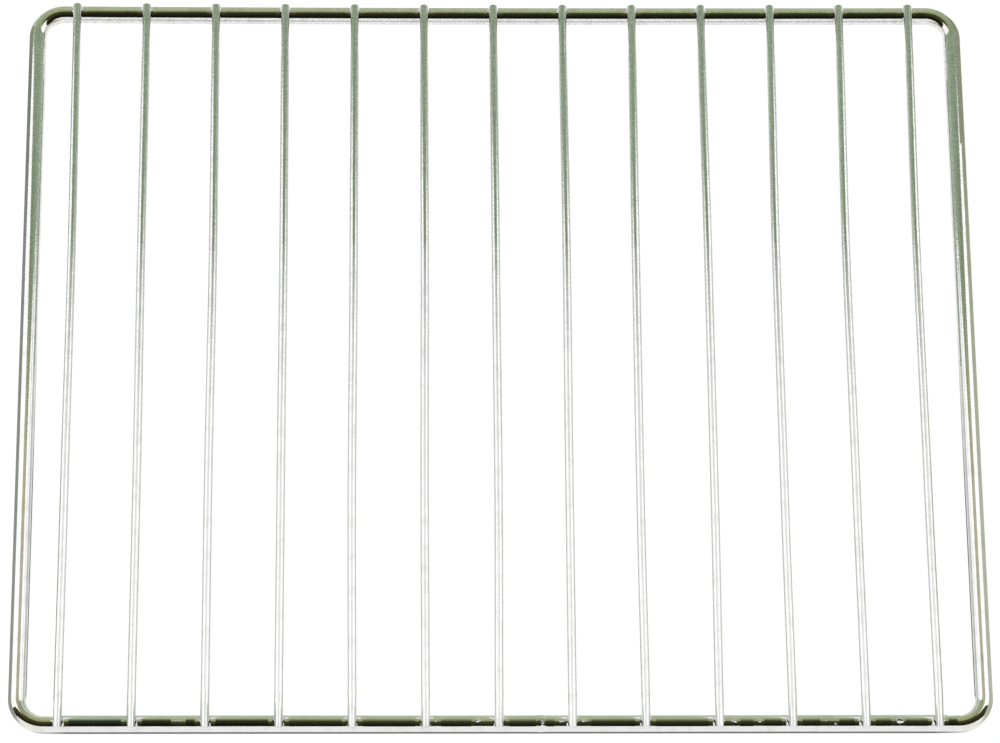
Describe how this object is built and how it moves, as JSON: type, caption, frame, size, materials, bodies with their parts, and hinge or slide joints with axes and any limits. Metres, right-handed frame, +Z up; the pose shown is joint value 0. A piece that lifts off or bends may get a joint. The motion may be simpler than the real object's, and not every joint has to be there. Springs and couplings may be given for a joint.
{
  "type": "fryer tube rack",
  "caption": "Flat rectangular wire rack of bright plated steel: a loop of thick wire with thin straight wires welded across it, laid over a fryer's burner tubes to carry the baskets.",
  "frame": {"origin": "under the middle of the rack, on the plane that the loop of thick wire rests on", "axes": "+X along the two long rails, +Y from the near rail (the one with the butt weld) to the far rail, +Z up, from the loop to the thin wires that lie on it"},
  "size_m": [0.3416, 0.2855, 0.0088],
  "materials": {
    "loop_plating": "bright plated",
    "wire_plating": "bright plated"
  },
  "bodies": {
    "root": {"frame_loop": "loop_plating", "cross_wire_01": "wire_plating", "cross_wire_02": "wire_plating", "cross_wire_03": "wire_plating", "cross_wire_04": "wire_plating", "cross_wire_05": "wire_plating", "cross_wire_06": "wire_plating", "cross_wire_07": "wire_plating", "cross_wire_08": "wire_plating", "cross_wire_09": "wire_plating", "cross_wire_10": "wire_plating", "cross_wire_11": "wire_plating", "cross_wire_12": "wire_plating", "cross_wire_13": "wire_plating"}
  },
  "joints": []
}
